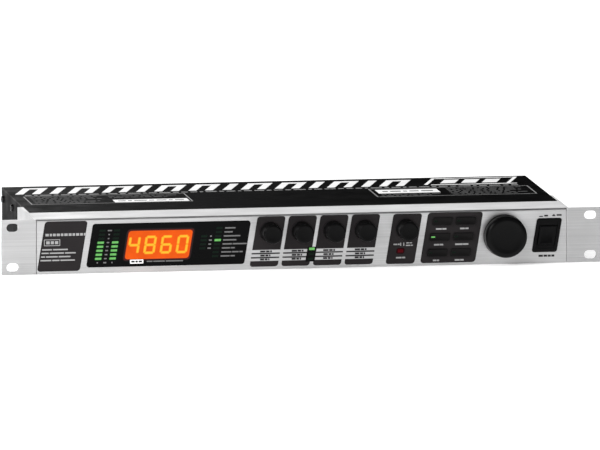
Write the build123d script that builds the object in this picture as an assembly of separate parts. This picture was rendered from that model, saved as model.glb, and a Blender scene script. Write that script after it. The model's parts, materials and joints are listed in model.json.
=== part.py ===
from build123d import *
from math import atan, cos, degrees, radians, sin
import os

# Rack effects unit, one rack unit high.  Millimetres.
# Frame: X to the right, Y to the rear, Z up.  The origin is the centre of the four rack slots,
# in the plane of the ears' rear faces, which is the plane that meets the rack rails.

# ---- overall ----
panel_w = 482.6            # over both ears
panel_h = 44.0             # ears, front panel and body
ear_w = 28.2               # ear's outer edge to the chassis side
body_d = 190.5             # ears' front face to the cover's rear lip
slot_edge = 8.75           # slot centre to the ear's outer edge
slot_pitch_z = 31.75       # rack slot centres up
slot_l = 9.8
slot_w = 6.8

# ---- sheet metal ----
ear_t = 2.0
ear_flange_d = 91.0        # side flange of an ear, back from its front face
ear_corner_x = 17.5        # cut corner at the flange's top rear, along the body
ear_corner_z = 2.6         # the same, down
ear_bend_r = 1.1           # where an ear's face folds into its flange
ear_outer_r = 1.0          # its outer corners
fascia_t = 2.0
fascia_fold_d = 39.6       # front panel's top strip, back from its front face
fascia_bend_r = 1.6
tray_t = 1.2
tray_lip_gap = 0.8         # lens rim to the tray's front lip
cover_t = 1.2
cover_side_h = 12.0
cover_lip_h = 6.2
rear_t = 1.5
rear_side_d = 12.0
seam = 0.15                # gap between neighbouring sheets

# ---- printed and cut shapes on the front lean to the right ----
lean = 0.163               # sideways per unit of height
fit_gap = 0.35             # moving cap to its opening
pull_in = 0.02             # piece to piece inside one body
shaft_gap = 0.05           # running shaft to its bush

# ---- display ----
lens_from_left = 105.7     # its centre to the chassis side
lens_z = 0.2
lens_w = 126.8
lens_h = 34.6
lens_corner_r = 2.4
lens_proud = 0.25
lens_rim = 1.2             # hidden rim behind the panel
lens_rim_t = 1.2
lcd_from_lens = -8.2       # centres, across
lcd_z = 0.65
lcd_w = 58.0
lcd_h = 26.0
lcd_cell_t = 1.8
led_w = 5.0
led_h = 1.8
led_pitch = 3.2
meter_rows = 8
meter_from_lens = (-55.25, -43.65)
meter_z0 = -10.35          # lowest row
effect_rows = 8
effect_from_lens = 38.7
status_rows = 4
status_from_lens = 27.4
status_z0 = -3.85

# ---- knobs ----
edit_count = 4
edit_x0 = -25.8
edit_pitch = 25.4
knob_z = 8.0
knob_d = 16.4
knob_tip_d = 15.2
knob_l = 16.0
knob_gap = 0.9             # knob to panel
modifier_x = 83.7
press_travel = 0.5
wheel_from_right = 50.1
wheel_z = 0.95
wheel_d = 34.2
wheel_l = 12.6
wheel_edge_r = 2.2
shaft_d = 6.0
shaft_flat = 1.5           # depth of the flat on a shaft
shaft_hole_gap = 0.8       # shaft to its hole in the panel
bush_wall = 1.3
encoder_w = 11.4
encoder_t = 6.5

# ---- small lamps on the panel ----
bank_x = 7.9
bank_z = (-6.3, -10.3, -14.3)
bank_lean_z = -6.3         # height at which bank_x is measured
lamp_w = 4.4
lamp_h = 2.0
modifier_lamp_x = 79.2
modifier_lamp_z = -9.6
lamp_proud = 0.3

# ---- push buttons ----
button_cols = 2
button_rows = 3
button_from_right = 92.9   # centre of the group
button_z = 0.85
button_pitch_x = 18.7
button_pitch_z = 12.6
button_w = 16.0
button_h = 6.2
button_corner_r = 0.9
button_proud = 1.5
button_rim = 1.0
button_rim_t = 1.0
button_travel = 0.7
tact_w = 6.0
tact_t = 3.5
tact_stem_d = 3.2

# ---- power switch ----
power_from_right = 15.7
power_z = 0.45
power_w = 20.2
power_h = 27.2
power_frame_proud = 1.0
power_corner_r = 1.8
power_cap_w = 13.8
power_cap_h = 15.2
power_cap_proud = 0.8      # latched in
power_travel = 3.5
power_wall = 1.4
power_body_d = 22.0

# ---- boards and what stands on them ----
board_t = 1.6
front_board_y = 9.0        # front of the display and control boards
display_board_margin = 13.0
front_board_edge = 3.5     # its edges to the body's top and bottom
control_board_left = -34.4
board_gap = 0.5            # between the two front boards
power_clearance = 3.5      # control board to the power switch
post_d = 4.0
post_inset = 0.1           # a post's side to its board's edge
board_rise = 5.2           # lower boards above the tray's floor
board_side_gap = 6.0
main_board_front_y = 78.0
main_board_rear_gap = 1.2
supply_board_w = 58.0
supply_board_gap = 4.0
supply_board_front_y = 30.0
supply_board_rear_gap = 28.0
transformer_size = (46.0, 52.0, 26.0)
ribbon_w = 32.0
ribbon_t = 1.0
ribbon_x = 40.0

# ---- rear connectors ----
xlr_in_from_left = (27.1, 58.1)
phone_x = (-128.0, -106.0, -38.0, -16.0, 84.0)
xlr_out_x = (10.0, 41.0)
level_x = -72.0
midi_x = (108.0, 132.0)
inlet_from_right = 31.1
flange_w = 26.0
flange_h = 31.0
flange_t = 2.0
flange_corner_r = 2.6
xlr_body_d = 23.6
xlr_body_l = 20.0
xlr_in_bore_d = 19.2
xlr_in_core_d = 14.6
xlr_out_bore_d = 16.6
xlr_cavity_l = 13.0
xlr_pin_d = 2.4
xlr_pin_l = 11.0
xlr_pin_r = 4.1            # pin circle
latch_w = 9.0
latch_h = 3.2
latch_z = 12.4
latch_proud = 1.8
latch_travel = 1.5
phone_bore_d = 6.5
phone_bore_l = 27.0
phone_bush_d = 9.4
phone_bush_proud = 3.4
phone_body_w = 15.0
phone_body_l = 26.0
nut_af = 12.0
nut_t = 2.2
midi_nose_d = 15.4
midi_bore_d = 13.8
midi_core_d = 11.2
midi_cavity_l = 8.0
midi_body_w = 20.0
midi_body_l = 15.0
midi_pin_r = 3.4
midi_pin_d = 1.7
level_w = 12.0
level_h = 5.0
level_cap_w = 4.0
level_travel = 3.0
inlet_w = 30.5
inlet_h = 33.0
inlet_z = -2.2
inlet_body_l = 24.0
inlet_wall = 2.0
socket_w = 24.6
socket_h = 15.6
socket_z = -8.6
socket_l = 17.0
blade_w = 2.0
blade_h = 4.0
blade_l = 15.0
drawer_w = 24.0
drawer_h = 8.6
drawer_z = 8.2
drawer_l = 22.0
drawer_travel = 20.0
fuse_d = 5.2
fuse_l = 20.0
panel_gap = 0.2            # connector nose to its hole in the rear panel

# ---- screws ----
m3_d = 3.0
m3_head_d = 5.6
m3_head_t = 1.8
m3_l = 7.0
ear_screw_d = 4.0
ear_screw_head_d = 7.4
ear_screw_head_t = 2.2
ear_screw_y = (16.0, 62.0)
ear_screw_z = (-13.0, 4.0)
side_screw_y = (128.0, 178.0)
side_screw_z = 13.6
lip_screw_count = 5
lip_screw_margin = 14.0
screw_recess_w = 1.0

# ---- worked out ----
top_z = panel_h / 2
bottom_z = -panel_h / 2
side_x = panel_w / 2 - ear_w
slot_x = panel_w / 2 - slot_edge
front_y = -ear_t
fascia_back_y = front_y + fascia_t
fold_y = front_y + fascia_fold_d
rear_y = front_y + body_d
rear_face_y = rear_y - cover_t
rear_inner_y = rear_face_y - rear_t
flange_face_y = rear_face_y + flange_t
shaft_r = shaft_d / 2
lens_x = lens_from_left - side_x
lens_bottom_z = lens_z - lens_h / 2 - lens_rim
button_x = side_x - button_from_right
wheel_x = side_x - wheel_from_right
power_x = side_x - power_from_right
xlr_in_x = tuple(x - side_x for x in xlr_in_from_left)
inlet_x = side_x - inlet_from_right
shaft_hole_d = shaft_d + 2 * shaft_hole_gap
bush_d = shaft_d + 2 * bush_wall
display_board_x = (lens_x - lens_w / 2 - display_board_margin, control_board_left - board_gap)
control_board_x = (control_board_left, power_x - power_w / 2 - power_clearance)
floor_z = bottom_z + tray_t
main_board_z = floor_z + board_rise + board_t
supply_board_x = (side_x - board_side_gap - supply_board_w, side_x - board_side_gap)
supply_board_y = (supply_board_front_y, rear_inner_y - supply_board_rear_gap)
main_board_x = (board_side_gap - side_x, supply_board_x[0] - supply_board_gap)
edit_xs = [edit_x0 + edit_pitch * k for k in range(edit_count)]
encoder_front_y = front_board_y - encoder_t
nodes = {}


def block(x0, x1, y0, y1, z0, z1):
    """A box between two corners."""
    return Pos((x0 + x1) / 2, (y0 + y1) / 2, (z0 + z1) / 2) * Box(x1 - x0, y1 - y0, z1 - z0)


def slab(outline, y0, y1):
    """A flat outline, drawn in X and Z, given thickness from y0 to y1."""
    return extrude(Plane.XZ.offset(-y1) * outline, amount=y1 - y0)


def rod(x, z, d, y0, y1):
    """A round bar along Y."""
    return slab(Pos(x, z) * Circle(d / 2), y0, y1)


def leaning(x, z, w, h, corner_r=0.0):
    """A leaning four-sided outline about its centre, with rounded corners."""
    shift = lean * h / 2
    points = [(-w / 2 - shift, -h / 2), (w / 2 - shift, -h / 2), (w / 2 + shift, h / 2), (-w / 2 + shift, h / 2)]
    outline = make_face(Polyline(*points, close=True))
    if corner_r:
        outline = fillet(outline.vertices(), corner_r)
    return Pos(x, z) * outline


def leaning_x(x, z, height=0.0):
    """Where a point that is at x for one height stands at another, along the lean."""
    return x + lean * (z - height)


def rear_hole(x, z, d):
    """A round tool through the rear panel."""
    return rod(x, z, d, rear_inner_y - 1, rear_face_y + 1)


def pan_screw(shank_d, head_d, head_t, length, slot=screw_recess_w):
    """A screw along Z, head up, with its seat at Z = 0 and a cross recess."""
    head = Pos(0, 0, head_t / 2) * Cylinder(head_d / 2, head_t)
    head = fillet(head.edges().group_by(Axis.Z)[-1], head_t * 0.45)
    shank = Pos(0, 0, -length / 2) * Cylinder(shank_d / 2, length)
    cross = Pos(0, 0, head_t) * (Box(head_d * 0.55, slot, head_t) + Box(slot, head_d * 0.55, head_t))
    return head + shank - cross


def rear_screw(x, z, seat_y):
    """An M3 screw put in from behind."""
    return Pos(x, seat_y, z) * Rot(-90, 0, 0) * pan_screw(m3_d, m3_head_d, m3_head_t, m3_l)


def screw_hole(x, z):
    """Clearance for an M3 screw from behind."""
    return rod(x, z, m3_d + 2 * pull_in, rear_inner_y - m3_l, flange_face_y + 1)


def flange_screw_places():
    """Two screws at opposite corners of every XLR flange."""
    dx = flange_w / 2 - 3.4
    dz = flange_h / 2 - 3.4
    return [(x + s * dx, -s * dz) for x in xlr_in_x + xlr_out_x for s in (-1, 1)]


def lip_screw_places():
    """A row of screws along the cover's rear lip."""
    first = -side_x + lip_screw_margin
    step = (2 * side_x - 2 * lip_screw_margin) / (lip_screw_count - 1)
    return [(first + step * k, top_z - cover_lip_h / 2) for k in range(lip_screw_count)]


def side_holes(places, z_values, d):
    """Round tools across the whole body."""
    return [Pos(0, y, z) * Rot(0, 90, 0) * Cylinder(d / 2, panel_w) for y in places for z in z_values]


# ---- housing ----

def make_tray():
    inner = side_x - tray_t
    shape = block(-side_x, side_x, fascia_back_y, rear_face_y, bottom_z, top_z - cover_t)
    shape -= block(-inner, inner, fascia_back_y + tray_t, rear_face_y + 1, bottom_z + tray_t, top_z)
    shape -= block(-inner, inner, fascia_back_y - 1, fascia_back_y + tray_t + 1, lens_bottom_z - tray_lip_gap, top_z)
    shape -= block(-side_x - 1, side_x + 1, fascia_back_y - 1, fold_y, top_z - fascia_t, top_z)
    for tool in side_holes(ear_screw_y, ear_screw_z, ear_screw_d + 2 * pull_in):
        shape -= tool
    for tool in side_holes(side_screw_y, (side_screw_z,), m3_d + 2 * pull_in):
        shape -= tool
    nodes["chassis_tray"] = shape


def make_rear_panel():
    inner = side_x - tray_t
    shape = block(-inner, inner, rear_inner_y, rear_face_y, bottom_z + tray_t, top_z - cover_t)
    for s in (-1, 1):
        x0, x1 = sorted((s * inner, s * (inner - rear_t)))
        wing_top = top_z - cover_t - cover_side_h - seam
        shape += block(x0, x1, rear_inner_y - rear_side_d, rear_inner_y, bottom_z + tray_t, wing_top)
    for x in xlr_in_x + xlr_out_x:
        shape -= rear_hole(x, 0, xlr_body_d + 2 * panel_gap)
    for x in xlr_in_x:
        shape -= latch_slot(x)
    for x in phone_x:
        shape -= rear_hole(x, 0, phone_bush_d + 2 * panel_gap)
    for x in midi_x:
        shape -= rear_hole(x, 0, midi_nose_d + 2 * panel_gap)
    shape -= slab(Pos(level_x, 0) * Rectangle(level_w, level_h), rear_inner_y - 1, rear_face_y + 1)
    inlet_hole = Rectangle(inlet_w - 2 * inlet_wall + 2 * panel_gap, inlet_h - 2 * inlet_wall + 2 * panel_gap)
    shape -= slab(Pos(inlet_x, inlet_z) * inlet_hole, rear_inner_y - 1, rear_face_y + 1)
    for x, z in flange_screw_places() + lip_screw_places():
        shape -= screw_hole(x, z)
    nodes["rear_panel"] = shape


def make_top_cover():
    inner = side_x - tray_t
    front = fold_y + seam
    shape = block(-side_x, side_x, front, rear_y, top_z - cover_t, top_z)
    for s in (-1, 1):
        x0, x1 = sorted((s * inner, s * (inner - cover_t)))
        shape += block(x0, x1, front, rear_inner_y, top_z - cover_t - cover_side_h, top_z - cover_t)
    shape += block(-side_x, side_x, rear_face_y, rear_y, top_z - cover_lip_h, top_z - cover_t)
    for x, z in lip_screw_places():
        shape -= screw_hole(x, z)
    for tool in side_holes(side_screw_y, (side_screw_z,), m3_d + 2 * pull_in):
        shape -= tool
    nodes["top_cover"] = shape


def make_front_panel():
    shape = block(-side_x, side_x, front_y, fold_y, bottom_z, top_z)
    shape -= block(-side_x - 1, side_x + 1, fascia_back_y, fold_y + 1, bottom_z - 1, top_z - fascia_t)
    bend = shape.edges().filter_by(Axis.X).sort_by(lambda e: e.center().Z - e.center().Y)[-1]
    shape = fillet(bend, fascia_bend_r)
    outlines = [leaning(lens_x, lens_z, lens_w + 2 * seam, lens_h + 2 * seam, lens_corner_r)]
    outlines += [Pos(x, knob_z) * Circle(shaft_hole_d / 2) for x in edit_xs + [modifier_x]]
    outlines.append(Pos(wheel_x, wheel_z) * Circle(shaft_hole_d / 2))
    for x, z in button_places():
        outlines.append(leaning(x, z, button_w + 2 * fit_gap, button_h + 2 * fit_gap, button_corner_r))
    outlines += [Pos(x, z) * Rectangle(lamp_w + 2 * pull_in, lamp_h + 2 * pull_in) for x, z in lamp_places()]
    outlines.append(leaning(power_x, power_z, power_w - 2 * power_wall, power_h - 2 * power_wall))
    for outline in outlines:
        shape -= slab(outline, front_y - 1, fascia_back_y + 1)
    nodes["front_panel"] = shape


def make_ears():
    for name, s in (("rack_ear_left", -1), ("rack_ear_right", 1)):
        x0, x1 = sorted((s * side_x, s * panel_w / 2))
        shape = block(x0, x1, front_y, 0, bottom_z, top_z)
        x0, x1 = sorted((s * side_x, s * (side_x + ear_t)))
        end = front_y + ear_flange_d
        profile = [(0, bottom_z), (0, top_z), (end - ear_corner_x, top_z), (end, top_z - ear_corner_z), (end, bottom_z)]
        flange = make_face(Polyline(*profile, close=True))
        shape += extrude(Plane.YZ.offset(x0) * flange, amount=x1 - x0)
        outer = shape.edges().filter_by(Axis.Y).group_by(Axis.X)[0 if s < 0 else -1]
        shape = fillet(outer, ear_outer_r)
        upright = shape.edges().filter_by(Axis.Z).group_by(Axis.X)[-1 if s < 0 else 0]
        shape = fillet(upright.sort_by(Axis.Y)[0], ear_bend_r)
        for z in (-slot_pitch_z / 2, slot_pitch_z / 2):
            hole = Pos(s * slot_x, z) * SlotOverall(slot_l, slot_w)
            shape -= slab(hole, front_y - 1, 1)
        for tool in side_holes(ear_screw_y, ear_screw_z, ear_screw_d + 2 * pull_in):
            shape -= tool
        nodes[name] = shape


# ---- display ----

def make_display():
    face = leaning(lens_x, lens_z, lens_w, lens_h, lens_corner_r)
    rim = leaning(lens_x, lens_z, lens_w + 2 * lens_rim, lens_h + 2 * lens_rim)
    lens_back = fascia_back_y + lens_rim_t
    nodes["display_lens"] = slab(face, front_y - lens_proud, fascia_back_y) + slab(rim, fascia_back_y, lens_back)
    lcd_x = lens_x + lcd_from_lens
    cell = Pos(lcd_x, lcd_z) * Rectangle(lcd_w - 4, lcd_h - 4)
    frame = Pos(lcd_x, lcd_z) * Rectangle(lcd_w, lcd_h)
    module = slab(frame, lens_back, front_board_y) - slab(cell, lens_back - 1, lens_back + lcd_cell_t)
    nodes["lcd_module"] = module + slab(cell, lens_back, lens_back + lcd_cell_t)
    bars = Rectangle(led_w, led_h)
    meter = [place for dx in meter_from_lens for place in led_column(dx, meter_z0, meter_rows)]
    effect = led_column(effect_from_lens, meter_z0, effect_rows) + led_column(status_from_lens, status_z0, status_rows)
    nodes["meter_leds"] = Compound([slab(Pos(x, z) * bars, lens_back, front_board_y) for x, z in meter])
    nodes["effect_leds"] = Compound([slab(Pos(x, z) * bars, lens_back, front_board_y) for x, z in effect])


def led_column(from_lens, z0, rows):
    """A leaning column of bar lamps behind the lens."""
    heights = [z0 + led_pitch * k for k in range(rows)]
    return [(leaning_x(lens_x + from_lens, z, lens_z), z) for z in heights]


def lamp_places():
    """The three bank lamps, along the lean, and the modifier lamp."""
    bank = [(leaning_x(bank_x, z, bank_lean_z), z) for z in bank_z]
    return bank + [(modifier_lamp_x, modifier_lamp_z)]


def make_lamps():
    lamp = Rectangle(lamp_w, lamp_h)
    nodes["panel_lamps"] = Compound([slab(Pos(x, z) * lamp, front_y - lamp_proud, front_board_y)
                                     for x, z in lamp_places()])


def make_front_boards():
    back = front_board_y + board_t
    z0, z1 = bottom_z + front_board_edge, top_z - front_board_edge
    nodes["display_board"] = block(*display_board_x, front_board_y, back, z0, z1)
    control = block(*control_board_x, front_board_y, back, z0, z1)
    nodes["control_board"] = control - rod(modifier_x, knob_z, shaft_d, front_board_y - 1, back + 1)
    inset = post_d / 2 + post_inset
    spans = (display_board_x, control_board_x)
    posts = [rod(x, z, post_d, fascia_back_y, front_board_y)
             for x0, x1 in spans for x in (x0 + inset, x1 - inset) for z in (z0 + inset, z1 - inset)]
    places = board_corners(main_board_x, (main_board_front_y, rear_inner_y - main_board_rear_gap))
    places += board_corners(supply_board_x, supply_board_y)
    posts += [Pos(x, y, floor_z + board_rise / 2) * Cylinder(post_d / 2, board_rise) for x, y in places]
    nodes["board_posts"] = Compound(posts)


def board_corners(span_x, span_y):
    """Places for posts just inside a lower board's corners."""
    inset = post_d
    return [(x, y) for x in (span_x[0] + inset, span_x[1] - inset) for y in (span_y[0] + inset, span_y[1] - inset)]


# ---- knobs, wheel and buttons ----

def d_bar(x, z, d, y0, y1):
    """A round bar with a flat on top, as a knob's shaft end and its bore are."""
    return rod(x, z, d, y0, y1) - block(x - d, x + d, y0 - 1, y1 + 1, z + d / 2 - shaft_flat, z + d)


def shaft_shape(x, z, tip_y, tail_y):
    """A knob's shaft: flatted in the knob and round in the bush."""
    flat_end = front_y - knob_gap
    return d_bar(x, z, shaft_d, tip_y, flat_end) + rod(x, z, shaft_d, flat_end, tail_y)


def encoder_shape(x, z, tail_y):
    """An encoder's body and bush, bored for the shaft."""
    shape = block(x - encoder_w / 2, x + encoder_w / 2, encoder_front_y, front_board_y,
                  z - encoder_w / 2, z + encoder_w / 2)
    shape += rod(x, z, bush_d, fascia_back_y, encoder_front_y)
    return shape - rod(x, z, shaft_d + 2 * shaft_gap, fascia_back_y - 1, tail_y)


def knob_shape(x, z, tip_d, root_d, length, edge_r):
    """A turned cap with a rounded tip and a blind bore for its shaft."""
    base_y = front_y - knob_gap
    cap = Plane.XZ.offset(-base_y) * Pos(x, z) * Circle(root_d / 2)
    shape = extrude(cap, amount=length, taper=degrees(atan((root_d - tip_d) / 2 / length)))
    tip = shape.edges().group_by(Axis.Y)[0]
    shape = fillet(tip, edge_r)
    return shape - d_bar(x, z, shaft_d + 2 * pull_in, base_y - length * 0.7 - pull_in, base_y + 1)


def make_knobs():
    tip_y = front_y - knob_gap - knob_l * 0.7
    tail_y = front_board_y - 1.5
    bodies = []
    for k, x in enumerate(edit_xs, start=1):
        nodes[f"edit_knob_{k}"] = knob_shape(x, knob_z, knob_tip_d, knob_d, knob_l, 0.8)
        nodes[f"edit_shaft_{k}"] = shaft_shape(x, knob_z, tip_y, tail_y - 0.3)
        bodies.append(encoder_shape(x, knob_z, tail_y))
    wheel_tip_y = front_y - knob_gap - wheel_l * 0.7
    nodes["jog_wheel"] = knob_shape(wheel_x, wheel_z, wheel_d - 1.2, wheel_d, wheel_l, wheel_edge_r)
    nodes["wheel_shaft"] = shaft_shape(wheel_x, wheel_z, wheel_tip_y, tail_y - 0.3)
    bodies.append(encoder_shape(wheel_x, wheel_z, tail_y))
    bodies += make_modifier()
    nodes["encoder_bodies"] = Compound(bodies)


def make_modifier():
    """The knob that turns and also presses: a push rod runs inside its body to the rear."""
    tip_y = front_y - knob_gap - knob_l * 0.7
    push_y = front_board_y - 3.0
    nodes["modifier_knob"] = knob_shape(modifier_x, knob_z, knob_tip_d, knob_d, knob_l, 0.8)
    nodes["modifier_shaft"] = shaft_shape(modifier_x, knob_z, tip_y, push_y)
    rod_d = shaft_d - 2.0
    rod_end = front_board_y + board_t + 1.0
    nodes["modifier_push_rod"] = rod(modifier_x, knob_z, rod_d, push_y + 0.05, rod_end)
    body = encoder_shape(modifier_x, knob_z, front_board_y + 1)
    cap = block(modifier_x - encoder_w / 2, modifier_x + encoder_w / 2, front_board_y + board_t,
                rod_end + press_travel + 1.5, knob_z - encoder_w / 2, knob_z + encoder_w / 2)
    cap -= rod(modifier_x, knob_z, rod_d + 1.0, front_board_y, rod_end + press_travel + 0.5)
    return [body, cap]


def button_places():
    """Rows and columns of buttons, along the lean."""
    places = []
    for row in range(button_rows):
        z = button_z + button_pitch_z * ((button_rows - 1) / 2 - row)
        for col in range(button_cols):
            x = button_x + button_pitch_x * (col - (button_cols - 1) / 2)
            places.append((leaning_x(x, z), z))
    return places


def make_buttons():
    rim_y = fascia_back_y + 0.3
    tact_front = front_board_y - tact_t
    stem_end = tact_front + 0.6
    switches = []
    for k, (x, z) in enumerate(button_places(), start=1):
        cap = slab(leaning(x, z, button_w, button_h, button_corner_r), front_y - button_proud, rim_y)
        cap = fillet(cap.edges().group_by(Axis.Y)[0], 0.5)
        rim = leaning(x, z, button_w + 2 * button_rim, button_h + 2 * button_rim)
        cap += slab(rim, rim_y, rim_y + button_rim_t)
        cap += rod(x, z, tact_stem_d, rim_y + button_rim_t, stem_end)
        nodes[f"button_{k}"] = cap
        switch = block(x - tact_w / 2, x + tact_w / 2, tact_front, front_board_y, z - tact_w / 2, z + tact_w / 2)
        switches.append(switch - rod(x, z, tact_stem_d + 2 * fit_gap, tact_front - 1, stem_end + button_travel + 0.6))
    nodes["tact_switches"] = Compound(switches)


def make_power_switch():
    frame_front = front_y - power_frame_proud
    body_back = fascia_back_y + power_body_d
    opening = leaning(power_x, power_z, power_cap_w + 2 * fit_gap, power_cap_h + 2 * fit_gap)
    bezel = slab(leaning(power_x, power_z, power_w, power_h, power_corner_r), frame_front, front_y)
    bezel = fillet(bezel.edges().group_by(Axis.Y)[0], 0.45)
    neck_w, neck_h = power_w - 2 * power_wall - 2 * seam, power_h - 2 * power_wall - 2 * seam
    bezel += slab(leaning(power_x, power_z, neck_w, neck_h), front_y, fascia_back_y + 2)
    nodes["power_switch_frame"] = bezel - slab(opening, frame_front - 1, fascia_back_y + 3)
    case = slab(leaning(power_x, power_z, neck_w, neck_h), fascia_back_y + 2, body_back)
    cap_back = fascia_back_y + 6.0
    case -= slab(opening, fascia_back_y + 1, cap_back + 1.0)
    stem_d = 5.0
    stem_end = body_back - 4.0
    case -= rod(power_x, power_z, stem_d + 2 * fit_gap, cap_back, stem_end + 1.0)
    nodes["power_switch_body"] = case
    cap = slab(leaning(power_x, power_z, power_cap_w, power_cap_h, 0.8), frame_front - power_cap_proud, cap_back)
    cap = fillet(cap.edges().group_by(Axis.Y)[0], 0.6)
    nodes["power_button"] = cap + rod(power_x, power_z, stem_d, cap_back, stem_end)


# ---- inside ----

def make_inside():
    board_rear = rear_inner_y - main_board_rear_gap
    under = main_board_z - board_t
    nodes["main_board"] = block(*main_board_x, main_board_front_y, board_rear, under, main_board_z)
    chips = [(-120, 28, 28), (-60, 20, 20), (-20, 14, 22), (30, 18, 10), (90, 22, 12)]
    chip_y = main_board_front_y + 32
    chip_top = main_board_z + 2.5
    nodes["signal_chips"] = Compound([block(x - w / 2, x + w / 2, chip_y - d / 2, chip_y + d / 2, main_board_z, chip_top)
                                      for x, w, d in chips])
    nodes["supply_board"] = block(*supply_board_x, *supply_board_y, under, main_board_z)
    tw, td, th = transformer_size
    mid_x, mid_y = sum(supply_board_x) / 2, sum(supply_board_y) / 2
    core = block(mid_x - tw / 2, mid_x + tw / 2, mid_y - td / 4, mid_y + td / 4, main_board_z, main_board_z + th)
    coil = block(mid_x - tw / 4, mid_x + tw / 4, mid_y - td / 2, mid_y + td / 2, main_board_z, main_board_z + th - 3)
    nodes["mains_transformer"] = core + coil
    header = front_board_y + board_t
    level = main_board_z + 7.0
    ribbon = block(ribbon_x - ribbon_w / 2, ribbon_x + ribbon_w / 2, header, main_board_front_y + 6,
                   level, level + ribbon_t)
    ribbon += block(ribbon_x - ribbon_w / 2 - 3, ribbon_x + ribbon_w / 2 + 3, header, header + 8, level - 4, level + 4)
    ribbon += block(ribbon_x - ribbon_w / 2 - 3, ribbon_x + ribbon_w / 2 + 3, main_board_front_y + 1,
                    main_board_front_y + 7, main_board_z, level + 2)
    nodes["ribbon_cable"] = ribbon


# ---- rear connectors ----

def flange_shape(x):
    """A square connector flange on the rear panel's outside."""
    outline = Pos(x, 0) * RectangleRounded(flange_w, flange_h, flange_corner_r)
    flange = slab(outline, rear_face_y, flange_face_y)
    for px, pz in flange_screw_places():
        if abs(px - x) < flange_w / 2:
            flange -= screw_hole(px, pz)
    return flange


def xlr_foot(x):
    """The block that stands a connector on the main board."""
    return block(x - 8, x + 8, flange_face_y - xlr_body_l, rear_inner_y - 2, main_board_z, -6)


def latch_slot(x):
    """Room for a latch in the flange, the panel and the shell."""
    w, h = latch_w + 2 * fit_gap, latch_h + 2 * fit_gap
    return slab(Pos(x, latch_z) * Rectangle(w, h), rear_inner_y - 6, flange_face_y + 1)


def make_xlr_inputs():
    shells = []
    for side, x in zip(("left", "right"), xlr_in_x):
        floor = flange_face_y - xlr_cavity_l
        shell = flange_shape(x) + rod(x, 0, xlr_body_d, flange_face_y - xlr_body_l, rear_face_y) + xlr_foot(x)
        shell -= rod(x, 0, xlr_in_bore_d, floor, flange_face_y + 1)
        core = rod(x, 0, xlr_in_core_d, floor, flange_face_y - 0.8)
        for px, pz in pin_places(x, 1):
            core -= rod(px, pz, xlr_pin_d + 0.5, flange_face_y - xlr_pin_l, flange_face_y + 1)
        shells += [shell - latch_slot(x), core]
        latch = Pos(x, latch_z) * RectangleRounded(latch_w, latch_h, 0.8)
        nodes[f"xlr_latch_{side}"] = slab(latch, rear_inner_y - 3, flange_face_y + latch_proud)
    nodes["xlr_inputs"] = Compound(shells)


def pin_places(x, s):
    """Three contacts: two above and one below for s = 1, the other way for s = -1."""
    return [(x - xlr_pin_r * 0.92, s * xlr_pin_r * 0.39), (x + xlr_pin_r * 0.92, s * xlr_pin_r * 0.39),
            (x, -s * xlr_pin_r)]


def make_xlr_outputs():
    shells = []
    pins = []
    floor = flange_face_y - xlr_cavity_l
    for x in xlr_out_x:
        shell = flange_shape(x) + rod(x, 0, xlr_body_d, flange_face_y - xlr_body_l, rear_face_y) + xlr_foot(x)
        shells.append(shell - rod(x, 0, xlr_out_bore_d, floor, flange_face_y + 1))
        for px, pz in pin_places(x, 1):
            pin = rod(px, pz, xlr_pin_d, floor, floor + xlr_pin_l)
            pins.append(fillet(pin.edges().group_by(Axis.Y)[-1], xlr_pin_d * 0.4))
    nodes["xlr_outputs"] = Compound(shells)
    nodes["xlr_pins"] = Compound(pins)


def make_phone_jacks():
    jacks = []
    nuts = []
    mouth_y = rear_face_y + phone_bush_proud
    for x in phone_x:
        half = phone_body_w / 2
        jack = block(x - half, x + half, rear_inner_y - phone_body_l, rear_inner_y, main_board_z, half)
        jack += rod(x, 0, phone_bush_d, rear_inner_y, mouth_y)
        jacks.append(jack - rod(x, 0, phone_bore_d, mouth_y - phone_bore_l, mouth_y + 1))
        hexagon = Pos(x, 0) * (RegularPolygon(nut_af / 2, 6, major_radius=False) - Circle(phone_bush_d / 2 + pull_in))
        nuts.append(slab(hexagon, rear_face_y, rear_face_y + nut_t))
    nodes["phone_jacks"] = Compound(jacks)
    nodes["jack_nuts"] = Compound(nuts)


def make_midi_sockets():
    sockets = []
    face_y = rear_face_y + 0.5
    for x in midi_x:
        half = midi_body_w / 2
        socket = block(x - half, x + half, rear_inner_y - midi_body_l, rear_inner_y, main_board_z, half)
        socket += rod(x, 0, midi_nose_d, rear_inner_y, face_y)
        floor = face_y - midi_cavity_l
        socket -= rod(x, 0, midi_bore_d, floor, face_y + 1)
        core = rod(x, 0, midi_core_d, floor, face_y - 0.6)
        for step in range(5):
            turn = radians(45 * step)
            px, pz = x + midi_pin_r * cos(turn), midi_pin_r * sin(turn)
            core -= rod(px, pz, midi_pin_d, floor + 1.0, face_y + 1)
        sockets += [socket, core]
    nodes["midi_sockets"] = Compound(sockets)


def make_level_switch():
    cap_x = level_x - level_travel / 2
    cap_h = level_h - 2 * fit_gap
    body = block(level_x - level_w / 2 - 2, level_x + level_w / 2 + 2, rear_inner_y - 8, rear_inner_y, -6, 6)
    body += block(level_x - 5, level_x + 5, rear_inner_y - 8, rear_inner_y - 1, main_board_z, -6)
    slide = Pos(level_x, 0) * Rectangle(level_w, level_h)
    nodes["level_switch_body"] = body - slab(slide, rear_inner_y - 5, rear_inner_y + 1)
    cap = Pos(cap_x, 0) * Rectangle(level_cap_w, cap_h)
    nodes["level_switch_cap"] = slab(cap, rear_inner_y - 5 + fit_gap, rear_face_y + 0.8)


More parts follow.
